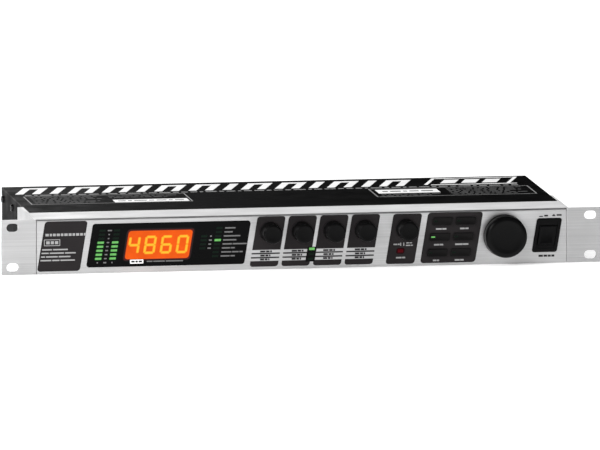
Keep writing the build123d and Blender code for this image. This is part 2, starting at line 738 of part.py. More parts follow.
def make_inlet():
    outline = Pos(inlet_x, inlet_z) * RectangleRounded(inlet_w, inlet_h, 2.5)
    shape = slab(outline, rear_face_y, flange_face_y)
    neck = Rectangle(inlet_w - 2 * inlet_wall, inlet_h - 2 * inlet_wall)
    shape += slab(Pos(inlet_x, inlet_z) * neck, flange_face_y - inlet_body_l, rear_face_y)
    socket = Rectangle(socket_w, socket_h)
    socket = chamfer(socket.vertices().group_by(Axis.Y)[0], 4.2)
    shape -= slab(Pos(inlet_x, socket_z) * socket, flange_face_y - socket_l, flange_face_y + 1)
    bay = Rectangle(drawer_w + 2 * fit_gap, drawer_h + 2 * fit_gap)
    shape -= slab(Pos(inlet_x, drawer_z) * bay, flange_face_y - drawer_l - fit_gap, flange_face_y + 1)
    nodes["mains_inlet"] = shape
    floor = flange_face_y - socket_l
    blade = Rectangle(blade_w, blade_h)
    places = [(inlet_x - 7, socket_z - 1), (inlet_x, socket_z + 3), (inlet_x + 7, socket_z - 1)]
    nodes["inlet_blades"] = Compound([slab(Pos(x, z) * blade, floor, floor + blade_l) for x, z in places])


def make_fuse_drawer():
    back = flange_face_y - drawer_l
    shape = slab(Pos(inlet_x, drawer_z) * Rectangle(drawer_w, drawer_h), back, flange_face_y + 1.0)
    cradle = block(inlet_x - drawer_w / 2 + 1.2, inlet_x + drawer_w / 2 - 1.2, back + 1.2, flange_face_y - 1.5,
                   drawer_z - drawer_h / 2 + 1.2, drawer_z + drawer_h)
    nodes["fuse_drawer"] = shape - cradle
    fuse_z = drawer_z - drawer_h / 2 + 1.2 + fuse_d / 2
    fuse_y = (back + flange_face_y) / 2
    nodes["fuse"] = Pos(inlet_x, fuse_y, fuse_z) * Rot(0, 90, 0) * Cylinder(fuse_d / 2, fuse_l)


# ---- screws ----

def make_screws():
    screws = [rear_screw(x, z, rear_y) for x, z in lip_screw_places()]
    for s in (-1, 1):
        for y in side_screw_y:
            screws.append(Pos(s * side_x, y, side_screw_z) * Rot(0, 90 * s, 0)
                          * pan_screw(m3_d, m3_head_d, m3_head_t, m3_l))
    nodes["cover_screws"] = Compound(screws)
    nodes["connector_screws"] = Compound([rear_screw(x, z, flange_face_y) for x, z in flange_screw_places()])
    ear_screws = []
    for s in (-1, 1):
        for y in ear_screw_y:
            for z in ear_screw_z:
                place = Pos(s * (side_x + ear_t), y, z) * Rot(0, 90 * s, 0)
                ear_screws.append(place * pan_screw(ear_screw_d, ear_screw_head_d, ear_screw_head_t, m3_l, 1.3))
    nodes["ear_screws"] = Compound(ear_screws)


def build():
    make_tray()
    make_rear_panel()
    make_top_cover()
    make_front_panel()
    make_ears()
    make_display()
    make_lamps()
    make_front_boards()
    make_knobs()
    make_buttons()
    make_power_switch()
    make_inside()
    make_xlr_inputs()
    make_xlr_outputs()
    make_phone_jacks()
    make_midi_sockets()
    make_level_switch()
    make_inlet()
    make_fuse_drawer()
    make_screws()


build()
os.makedirs("parts", exist_ok=True)
for name, shape in nodes.items():
    export_step(shape, f"parts/{name}.step")
print(len(nodes), "nodes written")
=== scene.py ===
import bpy
import bmesh
import json
from math import cos, pi, radians, sin
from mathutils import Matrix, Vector

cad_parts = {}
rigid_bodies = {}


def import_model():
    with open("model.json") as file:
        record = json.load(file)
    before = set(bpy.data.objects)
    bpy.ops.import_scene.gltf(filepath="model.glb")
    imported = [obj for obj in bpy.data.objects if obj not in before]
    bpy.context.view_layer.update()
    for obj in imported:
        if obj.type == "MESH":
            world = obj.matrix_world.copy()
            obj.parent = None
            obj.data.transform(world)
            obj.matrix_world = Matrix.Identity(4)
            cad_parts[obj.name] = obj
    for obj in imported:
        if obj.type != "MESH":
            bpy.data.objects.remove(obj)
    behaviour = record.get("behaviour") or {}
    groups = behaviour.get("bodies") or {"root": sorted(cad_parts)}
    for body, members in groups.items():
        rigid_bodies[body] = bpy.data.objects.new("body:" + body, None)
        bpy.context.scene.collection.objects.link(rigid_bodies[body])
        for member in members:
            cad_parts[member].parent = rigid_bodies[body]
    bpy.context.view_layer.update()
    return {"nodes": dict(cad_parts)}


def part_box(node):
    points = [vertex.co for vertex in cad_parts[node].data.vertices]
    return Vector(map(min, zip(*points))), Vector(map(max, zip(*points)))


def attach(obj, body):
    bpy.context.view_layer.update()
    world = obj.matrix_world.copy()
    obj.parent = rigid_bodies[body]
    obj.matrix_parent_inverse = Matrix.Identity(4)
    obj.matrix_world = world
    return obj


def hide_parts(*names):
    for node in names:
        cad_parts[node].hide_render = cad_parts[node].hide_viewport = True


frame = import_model()

# Lengths here are millimetres, turned to metres where a tool is called.
# X is to the right, Y to the rear and Z up, about the centre of the rack slots.

M = 0.001
LEAN = 0.163            # sideways per unit of height on the front's shapes
INK_T = 0.06            # thickness of a printed field
LAYER = 0.03            # one layer of print or light over another
COVER_LEAN = 0.34       # sideways per unit of depth on the cover's blocks
LAMP_PITCH = 3.2        # between the lamps in a column of the window
LAMP_FOOT_Z = -10.35    # the lowest lamp in a full column

# The camera: turned to the left of the unit and tilted down on it, in degrees,
# with its distance in metres and its lens in millimetres.
CAMERA_TURN = 9.26
CAMERA_TILT = 8.0
CAMERA_AWAY = 15.89
CAMERA_LENS = 1200.0
CAMERA_AIM = (-1.7, -2.0, 13.0)


def box_of(node):
    """A node's lowest and highest corners, in millimetres."""
    low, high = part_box(node)
    return [v / M for v in low], [v / M for v in high]


def middle_of(node):
    low, high = box_of(node)
    return [(a + b) / 2 for a, b in zip(low, high)]


front_y = box_of("front_panel")[0][1]
top_z = box_of("top_cover")[1][2]
bottom_z = box_of("front_panel")[0][2]
glass_y = box_of("display_lens")[0][1]


# ---- camera ----

def make_camera():
    """A long lens a little above the unit and to its left."""
    turn, tilt = radians(CAMERA_TURN), radians(CAMERA_TILT)
    look = (sin(turn) * cos(tilt), cos(turn) * cos(tilt), -sin(tilt))
    lens = bpy.data.cameras.new("rack_view")
    lens.sensor_width = 36.0
    lens.lens = CAMERA_LENS
    lens.clip_end = 60.0
    holder = bpy.data.objects.new("rack_view", lens)
    holder.location = [a * M - CAMERA_AWAY * d for a, d in zip(CAMERA_AIM, look)]
    holder.rotation_euler = (pi / 2 - tilt, 0, -turn)
    bpy.context.scene.collection.objects.link(holder)
    bpy.context.scene.camera = holder


# ---- finishes ----

def finish(name, colour, roughness, metallic=0.0, specular=0.5, coat=0.0):
    """A new material and its shader, with the plain values set on the shader itself."""
    material = bpy.data.materials.new(name)
    material.use_nodes = True
    shader = material.node_tree.nodes["Principled BSDF"]
    shader.inputs["Base Color"].default_value = (*colour, 1)
    shader.inputs["Roughness"].default_value = roughness
    shader.inputs["Metallic"].default_value = metallic
    shader.inputs["Specular IOR Level"].default_value = specular
    shader.inputs["Coat Weight"].default_value = coat
    shader.inputs["Coat Roughness"].default_value = 0.12
    return material, shader


def grain(material, stretch, detail=3.0, seed=0.0):
    """Noise in the object's own millimetres, stretched by a scale on each axis."""
    nodes, links = material.node_tree.nodes, material.node_tree.links
    place = nodes.new("ShaderNodeTexCoord")
    mapping = nodes.new("ShaderNodeMapping")
    mapping.inputs["Scale"].default_value = [v / M for v in stretch]
    mapping.inputs["Location"].default_value = (seed, seed * 0.7, seed * 1.3)
    noise = nodes.new("ShaderNodeTexNoise")
    noise.inputs["Scale"].default_value = 1.0
    noise.inputs["Detail"].default_value = detail
    links.new(place.outputs["Object"], mapping.inputs["Vector"])
    links.new(mapping.outputs["Vector"], noise.inputs["Vector"])
    return noise.outputs["Fac"]


def between(material, factor, low, high, span=(0.3, 0.7)):
    """A value that runs from low to high as a factor crosses a span."""
    node = material.node_tree.nodes.new("ShaderNodeMapRange")
    node.inputs["From Min"].default_value, node.inputs["From Max"].default_value = span
    node.inputs["To Min"].default_value = low
    node.inputs["To Max"].default_value = high
    material.node_tree.links.new(factor, node.inputs["Value"])
    return node.outputs["Result"]


def shades(material, factor, dark, light, span=(0.3, 0.7)):
    """A colour between two, by a factor."""
    nodes, links = material.node_tree.nodes, material.node_tree.links
    ramp = nodes.new("ShaderNodeValToRGB")
    ramp.color_ramp.elements[0].position, ramp.color_ramp.elements[1].position = span
    ramp.color_ramp.elements[0].color = (*dark, 1)
    ramp.color_ramp.elements[1].color = (*light, 1)
    links.new(factor, ramp.inputs["Fac"])
    return ramp.outputs["Color"]


def bump(material, shader, height, strength, distance):
    nodes, links = material.node_tree.nodes, material.node_tree.links
    node = nodes.new("ShaderNodeBump")
    node.inputs["Strength"].default_value = strength
    node.inputs["Distance"].default_value = distance * M
    links.new(height, node.inputs["Height"])
    links.new(node.outputs["Normal"], shader.inputs["Normal"])


def to(material, value, socket):
    material.node_tree.links.new(value, socket)


def scaled(colour, factor):
    return tuple(c * factor for c in colour)


def mottled(name, colour, roughness, grain_mm=0.4, spread=0.25, bump_mm=0.01, **more):
    """A moulded or coated finish: fine grain in its height, a slower drift in colour and gloss."""
    material, shader = finish(name, colour, roughness, **more)
    fine = grain(material, (1 / grain_mm,) * 3)
    slow = grain(material, (0.05, 0.05, 0.05), 4.0, 3.0)
    to(material, shades(material, slow, scaled(colour, 1 - spread), scaled(colour, 1 + spread)),
       shader.inputs["Base Color"])
    to(material, between(material, slow, roughness * 0.85, min(roughness * 1.2, 1)),
       shader.inputs["Roughness"])
    bump(material, shader, fine, 0.5, bump_mm)
    return material


def brushed(name, colour, roughness):
    """Aluminium brushed along X: fine lines, broader streaks and a few handling marks."""
    material, shader = finish(name, colour, roughness, metallic=0.9)
    lines = grain(material, (0.02, 6.0, 6.0), 2.0)
    streaks = grain(material, (0.006, 1.3, 1.3), 3.0, 5.0)
    marks = grain(material, (0.03, 0.05, 0.05), 5.0, 9.0)
    nodes = material.node_tree.nodes
    mix = nodes.new("ShaderNodeMix")
    mix.inputs["Factor"].default_value = 0.5
    to(material, lines, mix.inputs["A"])
    to(material, streaks, mix.inputs["B"])
    streaked = shades(material, mix.outputs["Result"], scaled(colour, 0.88), scaled(colour, 1.1),
                      (0.35, 0.65))
    to(material, streaked, shader.inputs["Base Color"])
    to(material, between(material, marks, roughness * 0.8, roughness * 1.25),
       shader.inputs["Roughness"])
    bump(material, shader, lines, 0.25, 0.008)
    return material


def cast_metal(name, colour, roughness):
    """Plated or cast metal with a slight orange peel."""
    material, shader = finish(name, colour, roughness, metallic=1.0)
    peel = grain(material, (1.5, 1.5, 1.5))
    drift = grain(material, (0.2, 0.2, 0.2), 3.0, 2.0)
    to(material, shades(material, drift, scaled(colour, 0.85), scaled(colour, 1.08)),
       shader.inputs["Base Color"])
    to(material, between(material, drift, roughness * 0.8, roughness * 1.3),
       shader.inputs["Roughness"])
    bump(material, shader, peel, 0.2, 0.01)
    return material


def lit(name, colour, strength, spread=0.12, grain_mm=2.0):
    """A lamp's face, or painted glow round a lamp: it glows a little unevenly."""
    material, shader = finish(name, scaled(colour, 0.05), 0.35, specular=0.03)
    drift = grain(material, (1 / grain_mm,) * 3)
    to(material, shades(material, drift, scaled(colour, 1 - spread), scaled(colour, 1 + spread)),
       shader.inputs["Emission Color"])
    shader.inputs["Emission Strength"].default_value = strength
    return material


def halo(name, colour, centre, size, reach, lean=LEAN, base=(0.004, 0.004, 0.004)):
    """Light that dies away outside a leaning rectangle."""
    material, shader = finish(name, base, 0.2, specular=0.12)
    nodes, links = material.node_tree.nodes, material.node_tree.links

    def sum_of(kind, a, b):
        node = nodes.new("ShaderNodeMath")
        node.operation = kind
        for socket, value in zip(node.inputs, (a, b)):
            if hasattr(value, "is_linked"):
                links.new(value, socket)
            else:
                socket.default_value = value
        return node.outputs[0]

    place = nodes.new("ShaderNodeTexCoord")
    parts = nodes.new("ShaderNodeSeparateXYZ")
    links.new(place.outputs["Object"], parts.inputs[0])
    up = sum_of("SUBTRACT", parts.outputs["Z"], centre[1] * M)
    along = sum_of("SUBTRACT", parts.outputs["X"], centre[0] * M)
    across = sum_of("SUBTRACT", along, sum_of("MULTIPLY", up, lean))
    past_side = sum_of("SUBTRACT", sum_of("ABSOLUTE", across, 0.0), size[0] / 2 * M)
    past_end = sum_of("SUBTRACT", sum_of("ABSOLUTE", up, 0.0), size[1] / 2 * M)
    beyond_x = sum_of("MAXIMUM", past_side, 0.0)
    beyond_z = sum_of("MAXIMUM", past_end, 0.0)
    squares = sum_of("ADD", sum_of("POWER", beyond_x, 2.0), sum_of("POWER", beyond_z, 2.0))
    away = sum_of("SQRT", squares, 0.0)
    fade = between(material, away, 1.0, 0.0, (0.0, reach * M))
    fade = sum_of("POWER", fade, 2.0)
    links.new(shades(material, fade, (0, 0, 0), colour, (0.0, 1.0)),
              shader.inputs["Emission Color"])
    shader.inputs["Emission Strength"].default_value = 1.0
    return material


def board_green():
    """Circuit board: green resist with paler tracks across it."""
    material, shader = finish("board_green", (0.01, 0.09, 0.03), 0.35)
    tracks = grain(material, (0.9, 0.08, 0.08), 1.0)
    to(material, shades(material, tracks, (0.006, 0.06, 0.02), (0.03, 0.2, 0.07), (0.48, 0.55)),
       shader.inputs["Base Color"])
    bump(material, shader, tracks, 0.3, 0.03)
    return material


def ribbed_grey():
    """Flat cable: grey with a rib for each wire."""
    material, shader = finish("ribbed_grey", (0.32, 0.33, 0.35), 0.45)
    ribs = grain(material, (0.8, 0.002, 0.002), 0.0)
    to(material, shades(material, ribs, (0.2, 0.2, 0.22), (0.42, 0.43, 0.45)),
       shader.inputs["Base Color"])
    bump(material, shader, ribs, 0.5, 0.1)
    return material


def clear_glass():
    material, shader = finish("fuse_clear", (0.86, 0.9, 0.9), 0.06, specular=0.6)
    shader.inputs["Transmission Weight"].default_value = 0.7
    fog = grain(material, (0.6, 0.6, 0.6))
    to(material, between(material, fog, 0.03, 0.12), shader.inputs["Roughness"])
    return material


panel_metal = brushed("panel_metal", (0.56, 0.56, 0.563), 0.38)
ear_metal = brushed("ear_metal", (0.52, 0.52, 0.523), 0.38)
CASE_BLACK = (0.006, 0.006, 0.0063)
cover_paint = mottled("cover_paint", CASE_BLACK, 0.5, 0.7, 0.3, 0.012, specular=0.05)
tray_paint = mottled("tray_paint", CASE_BLACK, 0.55, 0.7, 0.3, 0.012, specular=0.025)
field_ink = mottled("field_ink", (0.016, 0.0138, 0.0145), 0.5, 0.5, 0.12, 0.004, specular=0.12)
mark_ink = mottled("mark_ink", (0.02, 0.019, 0.02), 0.5, 0.4, 0.15, 0.004, specular=0.15)
white_ink = mottled("white_ink", (0.9, 0.9, 0.9), 0.55, 0.5, 0.04, 0.004, specular=0.2)
dim_ink = mottled("dim_ink", (0.14, 0.14, 0.14), 0.55, 0.5, 0.06, 0.004, specular=0.1)
grey_ink = mottled("grey_ink", (0.31, 0.31, 0.31), 0.55, 0.5, 0.06, 0.004, specular=0.2)
window_black = mottled("window_black", (0.0015, 0.0015, 0.0017),
                       0.08, 3.0, 0.2, 0.0004, specular=0.05)
knob_plastic = mottled("knob_plastic", (0.0033, 0.0033, 0.0034),
                       0.36, 0.35, 0.2, 0.01, specular=0.07)
wheel_plastic = mottled("wheel_plastic", (0.003, 0.003, 0.0031),
                        0.34, 0.45, 0.2, 0.012, specular=0.09)
button_plastic = mottled("button_plastic", (0.006, 0.0056, 0.0056),
                         0.4, 0.3, 0.2, 0.01, specular=0.08)
power_plastic = mottled("power_plastic", (0.0032, 0.0032, 0.0034),
                        0.32, 0.4, 0.2, 0.008, specular=0.07)
shell_plastic = mottled("shell_plastic", (0.012, 0.012, 0.013), 0.42, 0.4, 0.2, 0.012, specular=0.4)
chip_black = mottled("chip_black", (0.01, 0.01, 0.01), 0.55, 0.3, 0.2, 0.01, specular=0.3)
iron_grey = cast_metal("iron_grey", (0.28, 0.28, 0.29), 0.5)
zinc_bright = cast_metal("zinc_bright", (0.72, 0.71, 0.68), 0.34)
nickel_bright = cast_metal("nickel_bright", (0.74, 0.72, 0.68), 0.24)
gold_bright = cast_metal("gold_bright", (0.85, 0.62, 0.26), 0.25)
screw_black = cast_metal("screw_black", (0.05, 0.05, 0.052), 0.38)
amber_light = lit("amber_light", (0.86, 0.105, 0.009), 1.0, 0.10, 9.0)
digit_light = lit("digit_light", (1.0, 0.52, 0.035), 1.0, 0.05)
# A darker orange that glows round the digits' strokes: painted glow.
digit_glow_spill = lit("digit_glow_spill", (0.98, 0.26, 0.018), 1.0, 0.05)
green_light = lit("green_light", (0.17, 0.52, 0.14), 1.0, 0.15)
# A dim green that glows round the lit lamps: painted glow on the lens.
green_glow_spill = lit("green_glow_spill", (0.004, 0.035, 0.008), 1.0, 0.15)
lamp_off = mottled("lamp_off", (0.003, 0.0085, 0.005), 0.3, 0.5, 0.2, 0.004, specular=0.06)
red_light = lit("red_light", (0.075, 0.003, 0.006), 1.0, 0.2)
# A dim red that glows on the panel round the modifier lamp: painted glow.
red_glow_spill = lit("red_glow_spill", (0.018, 0.002, 0.003), 1.0, 0.2)
board_finish = board_green()
ribbon_finish = ribbed_grey()
fuse_finish = clear_glass()

NODE_FINISH = {
    "front_panel": panel_metal, "rack_ear_left": ear_metal, "rack_ear_right": ear_metal,
    "chassis_tray": tray_paint, "top_cover": cover_paint, "rear_panel": cover_paint,
    "display_lens": window_black, "lcd_module": chip_black, "meter_leds": lamp_off,
    "effect_leds": lamp_off, "panel_lamps": lamp_off, "display_board": board_finish,
    "control_board": board_finish,
    "main_board": board_finish, "supply_board": board_finish, "signal_chips": chip_black,
    "mains_transformer": iron_grey, "board_posts": zinc_bright, "ribbon_cable": ribbon_finish,
    "encoder_bodies": zinc_bright, "tact_switches": chip_black, "modifier_push_rod": zinc_bright,
    "modifier_shaft": zinc_bright, "wheel_shaft": zinc_bright, "power_switch_frame": power_plastic,
    "power_switch_body": chip_black, "power_button": power_plastic, "phone_jacks": shell_plastic,
    "jack_nuts": nickel_bright, "xlr_inputs": shell_plastic, "xlr_outputs": shell_plastic,
    "xlr_pins": gold_bright, "xlr_latch_left": nickel_bright, "xlr_latch_right": nickel_bright,
    "midi_sockets": shell_plastic, "level_switch_body": shell_plastic,
    "level_switch_cap": button_plastic, "mains_inlet": shell_plastic,
    "inlet_blades": nickel_bright, "fuse_drawer": shell_plastic,
    "fuse": fuse_finish, "cover_screws": screw_black, "connector_screws": screw_black,
    "ear_screws": screw_black, "jog_wheel": wheel_plastic, "modifier_knob": knob_plastic,
}


def finish_nodes():
    """Every node gets its finish in place of the one it came with."""
    plain = {"edit_knob": knob_plastic, "edit_shaft": zinc_bright, "button": button_plastic}
    for name in frame["nodes"]:
        material = NODE_FINISH.get(name) or plain[name.rsplit("_", 1)[0]]
        for holder in bpy.data.objects[name].material_slots:
            holder.material = material


# ---- making pieces ----

def start(add, at, **more):
    """Add one primitive by itself, put its place in its mesh, and open it."""
    bpy.ops.object.select_all(action="DESELECT")
    add(location=[v * M for v in at], **more)
    bpy.ops.object.transform_apply(location=True, rotation=True, scale=True)
    bpy.ops.object.mode_set(mode="EDIT")
    return bpy.context.object


def pick(piece, test, kind="FACE", within=False):
    """Select what passes a test of its corner points, out of all or out of what is selected."""
    bpy.ops.mesh.select_mode(type=kind)
    mesh = bmesh.from_edit_mesh(piece.data)
    items = {"VERT": mesh.verts, "EDGE": mesh.edges, "FACE": mesh.faces}[kind]
    chosen = []
    for item in items:
        points = [item.co] if kind == "VERT" else [v.co for v in item.verts]
        if (item.select or not within) and test([p / M for p in points]):
            chosen.append(item)
    for group in (mesh.faces, mesh.edges, mesh.verts):
        for item in group:
            item.select = False
    for item in chosen:
        item.select_set(True)
    bmesh.update_edit_mesh(piece.data)
    return len(chosen)


def grow(dx=0.0, dy=0.0, dz=0.0):
    """Extrude what is selected by a step."""
    bpy.ops.mesh.extrude_region_move(TRANSFORM_OT_translate={"value": (dx * M, dy * M, dz * M)})


def swell(about, sx, sy, sz):
    """Scale what is selected about a point."""
    bpy.ops.transform.resize(value=(sx, sy, sz), center_override=[v * M for v in about])


def shift(dx=0.0, dy=0.0, dz=0.0):
    bpy.ops.transform.translate(value=(dx * M, dy * M, dz * M))


def round_edges(width, segments=3):
    bpy.ops.mesh.bevel(affect="EDGES", offset=width * M, segments=segments, clamp_overlap=True)


def face_out():
    bpy.ops.mesh.select_all(action="SELECT")
    bpy.ops.mesh.normals_make_consistent(inside=False)


def settle(piece, name, material, body, replaces=(), smooth=None):
    """Close the piece, name it, give it its finish and say what it moves with."""
    bpy.ops.object.mode_set(mode="OBJECT")
    piece.name = name
    piece.data.name = name
    piece.data.materials.clear()
    piece.data.materials.append(material)
    if smooth:
        bpy.ops.object.shade_smooth_by_angle(angle=radians(smooth))
    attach(piece, body)
    if replaces:
        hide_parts(*replaces)
    return piece


UPRIGHT = (pi / 2, 0, 0)


def sheet_at(x, z, w, h, y, lean, corner=0.0, corners=(-1, 1), steps=5):
    """A leaning upright sheet, all of it selected, in the piece that is open."""
    piece = bpy.context.object
    swell((x, y, z), w, 1, h)
    if lean:
        for side in (1, -1):
            bpy.ops.mesh.select_linked()
            pick(piece, lambda points: (points[0].z - z) * side > 0, "VERT", True)
            shift(side * lean * h / 2)
        bpy.ops.mesh.select_linked()
    if corner:
        pick(piece, lambda points: any((points[0].z - z) * side > 0 for side in corners),
             "VERT", True)
        bpy.ops.mesh.bevel(affect="VERTICES", offset=corner * M, segments=steps)
        bpy.ops.mesh.select_linked()


def leaning_plate(x, z, w, h, front, back, corner=0.0, edge=0.0, lean=LEAN, corners=(-1, 1)):
    """A leaning plate with rounded corners and, if asked, softened front edges."""
    piece = start(bpy.ops.mesh.primitive_plane_add, (x, back, z), size=M, rotation=UPRIGHT)
    sheet_at(x, z, w, h, back, lean, corner, corners)
    grow(dy=front - back)
    if edge:
        pick(piece, lambda points: all(abs(p.y - front) < 1e-4 for p in points), "EDGE")
        round_edges(edge)
    face_out()
    return piece


def bars(places, front, back, lean=0.0, corner=0.0):
    """Many small upright bars (x, z, w, h) in one piece."""
    x, z, w, h = places[0]
    piece = start(bpy.ops.mesh.primitive_plane_add, (x, back, z), size=M, rotation=UPRIGHT)
    sheet_at(x, z, w, h, back, lean, corner, steps=1)
    for x, z, w, h in places[1:]:
        bpy.ops.mesh.primitive_plane_add(size=M, location=(x * M, back * M, z * M),
                                         rotation=UPRIGHT)
        sheet_at(x, z, w, h, back, lean, corner, steps=1)
    bpy.ops.mesh.select_all(action="SELECT")
    grow(dy=front - back)
    face_out()
    return piece


def flat_bars(places, low, high, slant=0.0):
    """Bars (x, y, w, d) lying on a level face, leaning towards the right as they go back."""
    x, y, w, d = places[0]
    piece = start(bpy.ops.mesh.primitive_plane_add, (x, y, low), size=M)
    for n, (x, y, w, d) in enumerate(places):
        if n:
            bpy.ops.mesh.primitive_plane_add(size=M, location=(x * M, y * M, low * M))
        swell((x, y, low), w, d, 1)
        if slant:
            for side in (1, -1):
                bpy.ops.mesh.select_linked()
                pick(piece, lambda points: (points[0].y - y) * side > 0, "VERT", True)
                shift(side * slant * d / 2)
    bpy.ops.mesh.select_all(action="SELECT")
    grow(dz=high - low)
    face_out()
    return piece


def turned(x, z, profile, segments=64):
    """A round solid about an axis along Y, from its back face forward: (y, radius) points."""
    y, r = profile[0]
    piece = start(bpy.ops.mesh.primitive_circle_add, (x, y, z), radius=r * M, vertices=segments,
                  fill_type="NGON", rotation=UPRIGHT)
    for (y0, r0), (y1, r1) in zip(profile, profile[1:]):
        grow(dy=y1 - y0)
        swell((x, y1, z), r1 / r0, 1, r1 / r0)
    face_out()
    return piece


def outline_bars(x, z, w, h, t):
    """Four bars round a rectangle, drawn t wide."""
    return [(x, z + h / 2 - t / 2, w, t), (x, z - h / 2 + t / 2, w, t),
            (x - w / 2 + t / 2, z, t, h - 2 * t), (x + w / 2 - t / 2, z, t, h - 2 * t)]


def words(x0, z, total, h, lengths, gap=0.5):
    """A row of short bars that stands for a printed line and fills a length."""
    scale = (total - gap * (len(lengths) - 1)) / sum(lengths)
    row = []
    for length in lengths:
        w = length * scale
        row.append((x0 + w / 2, z, w, h))
        x0 += w + gap
    return row


# ---- the front's printed fields ----

def print_piece(piece, name, material):
    return settle(piece, name, material, "chassis")


ink_y = front_y - INK_T
over_ink_y = ink_y - LAYER


def make_label_field():
    field = leaning_plate(-192.6, 0.3, 34.3, 40.0, ink_y, front_y, 2.5)
    print_piece(field, "label_field", field_ink)
    first = (1.6, 1, 1.4, 1.5, 1.2, 1.6, 1.4, 1.2, 1.5, 1.3, 1.1)
    places = words(-206.2, 9.5, 32.6, 2.0, first, 0.8)
    places += words(-205.6, 3.3, 9.6, 2.4, (1.5, 1.3, 1.4), 0.9)
    places += outline_bars(-200.9, 3.3, 12.9, 5.2, 0.5)
    lines = ((-2.3, 20.6, (2, 3)), (-5.1, 27.4, (2, 4, 3)), (-8.0, 23.6, (1, 3, 3)),
             (-10.9, 27.6, (3, 2, 4)))
    for n, (line_z, total, lengths) in enumerate(lines):
        places += words(-208.9 - 0.45 * n, line_z, total, 1.05, lengths, 0.8)
    print_piece(bars(places, over_ink_y, ink_y), "label_lines", grey_ink)


def make_knob_plates():
    """Under each edit knob a field, two rules with rows of dashes between, and a foot."""
    upper_z, lower_z = (20.5 - 6.3) / 2, (-19.7 - 15.2) / 2
    width = 22.7
    for k in range(1, 5):
        x = middle_of(f"edit_knob_{k}")[0] - 2.0
        field = leaning_plate(x + LEAN * upper_z, upper_z, width, 26.8, ink_y, front_y, 2.3,
                              corners=(1,))
        print_piece(field, f"knob_field_{k}", field_ink)
        foot = leaning_plate(x + LEAN * lower_z, lower_z, width, 4.5, ink_y, front_y, 2.3,
                             corners=(-1,))
        print_piece(foot, f"knob_foot_{k}", field_ink)
        places = [(x + LEAN * z, z, width, 1.15) for z in (-9.2, -12.5)]
        for row, z in enumerate((-7.6, -10.85, -14.0)):
            total = (9.5, 8.2, 7.6)[row]
            places += words(x + LEAN * z - total / 2, z, total, 1.5, (3, 2, 1), 0.5)
        print_piece(bars(places, ink_y, front_y), f"knob_rows_{k}", mark_ink)


def bank_x(z):
    """The middle of the leaning column of bank lamps at a height."""
    return 7.9 + LEAN * (z + 6.3)


def make_bank_field():
    """The dark strip behind the bank lamps."""
    z = -10.6
    field = leaning_plate(bank_x(z), z, 7.4, 11.8, ink_y - LAYER, front_y, 0.5)
    print_piece(field, "bank_field", window_black)


def make_modifier_plate():
    """The field round the knob that turns and presses, with its marks."""
    field = leaning_plate(82.0, 0.1, 23.2, 40.2, ink_y, front_y, 2.3)
    print_piece(field, "modifier_field", field_ink)
    places = words(73.6, -4.3, 5.0, 1.1, (2, 1), 0.4) + words(84.0, -3.3, 4.6, 0.9, (1, 1), 0.4)
    places += words(83.6, -5.3, 5.6, 0.9, (2, 1), 0.4) + words(75.6, -15.0, 7.4, 1.2, (3, 1.6), 0.5)
    places += [(79.4, -4.3, 0.8, 2.6), (81.9, -4.3, 0.8, 2.6)]
    print_piece(bars(places, over_ink_y, ink_y), "modifier_marks", grey_ink)


def make_button_plate():
    """The field round the six buttons, with two dashes under each."""
    field = leaning_plate(120.5, 0.3, 44.4, 40.4, ink_y, front_y, 2.6)
    print_piece(field, "button_field", field_ink)
    places = []
    below = 6.15
    for k, total in enumerate((8.4, 6.8, 7.4, 10.6, 5.0, 7.2)):
        x, _, z = middle_of(f"button_{k + 1}")
        places += words(x - total / 2 - LEAN * below, z - below, total, 1.25, (2, 1.4), 0.4)
    print_piece(bars(places, over_ink_y, ink_y), "button_marks", grey_ink)


def make_power_marks():
    """Two marks over the power switch and a row of dashes under it."""
    x, _, z = middle_of("power_switch_frame")
    places = [(x - 4.6, z + 15.1, 3.0, 0.8), (x - 0.6, z + 15.6, 3.0, 1.3)]
    places += [(x + 5.6, z + 16.3, 1.3, 0.7), (x + 5.6, z + 15.5, 2.6, 0.9),
               (x + 9.9, z + 15.9, 4.0, 1.3)]
    places += words(x - 6.7, z - 16.6, 12.8, 1.7, (3, 2.4, 2, 2), 0.5)
    print_piece(bars(places, ink_y, front_y), "power_marks", mark_ink)


# ---- display ----

def glass_piece(piece, name, material):
    return settle(piece, name, material, "chassis")


SEGMENTS = {"0": "abcdef", "4": "bcfg", "6": "acdefg", "8": "abcdefg"}


def digit_strokes(x, z, digit, wider):
    """The seven-stroke form of one digit, leaning, each stroke a bar."""
    w, h, t = 8.8, 14.2, 1.55
    reach_x, reach_z = w / 2 - t / 2, h / 2 - t / 2
    across = (w - 2 * t + 0.9) + wider
    down = (h / 2 - t / 2 - 0.55) + wider
    t += wider
    forms = {"a": (0, reach_z, across, t), "g": (0, 0, across, t), "d": (0, -reach_z, across, t),
             "f": (-reach_x, reach_z / 2, t, down), "b": (reach_x, reach_z / 2, t, down),
             "e": (-reach_x, -reach_z / 2, t, down), "c": (reach_x, -reach_z / 2, t, down)}
    chosen = [forms[stroke] for stroke in SEGMENTS[digit]]
    return [(x + dx + LEAN * dz, z + dz, wide, high) for dx, dz, wide, high in chosen]


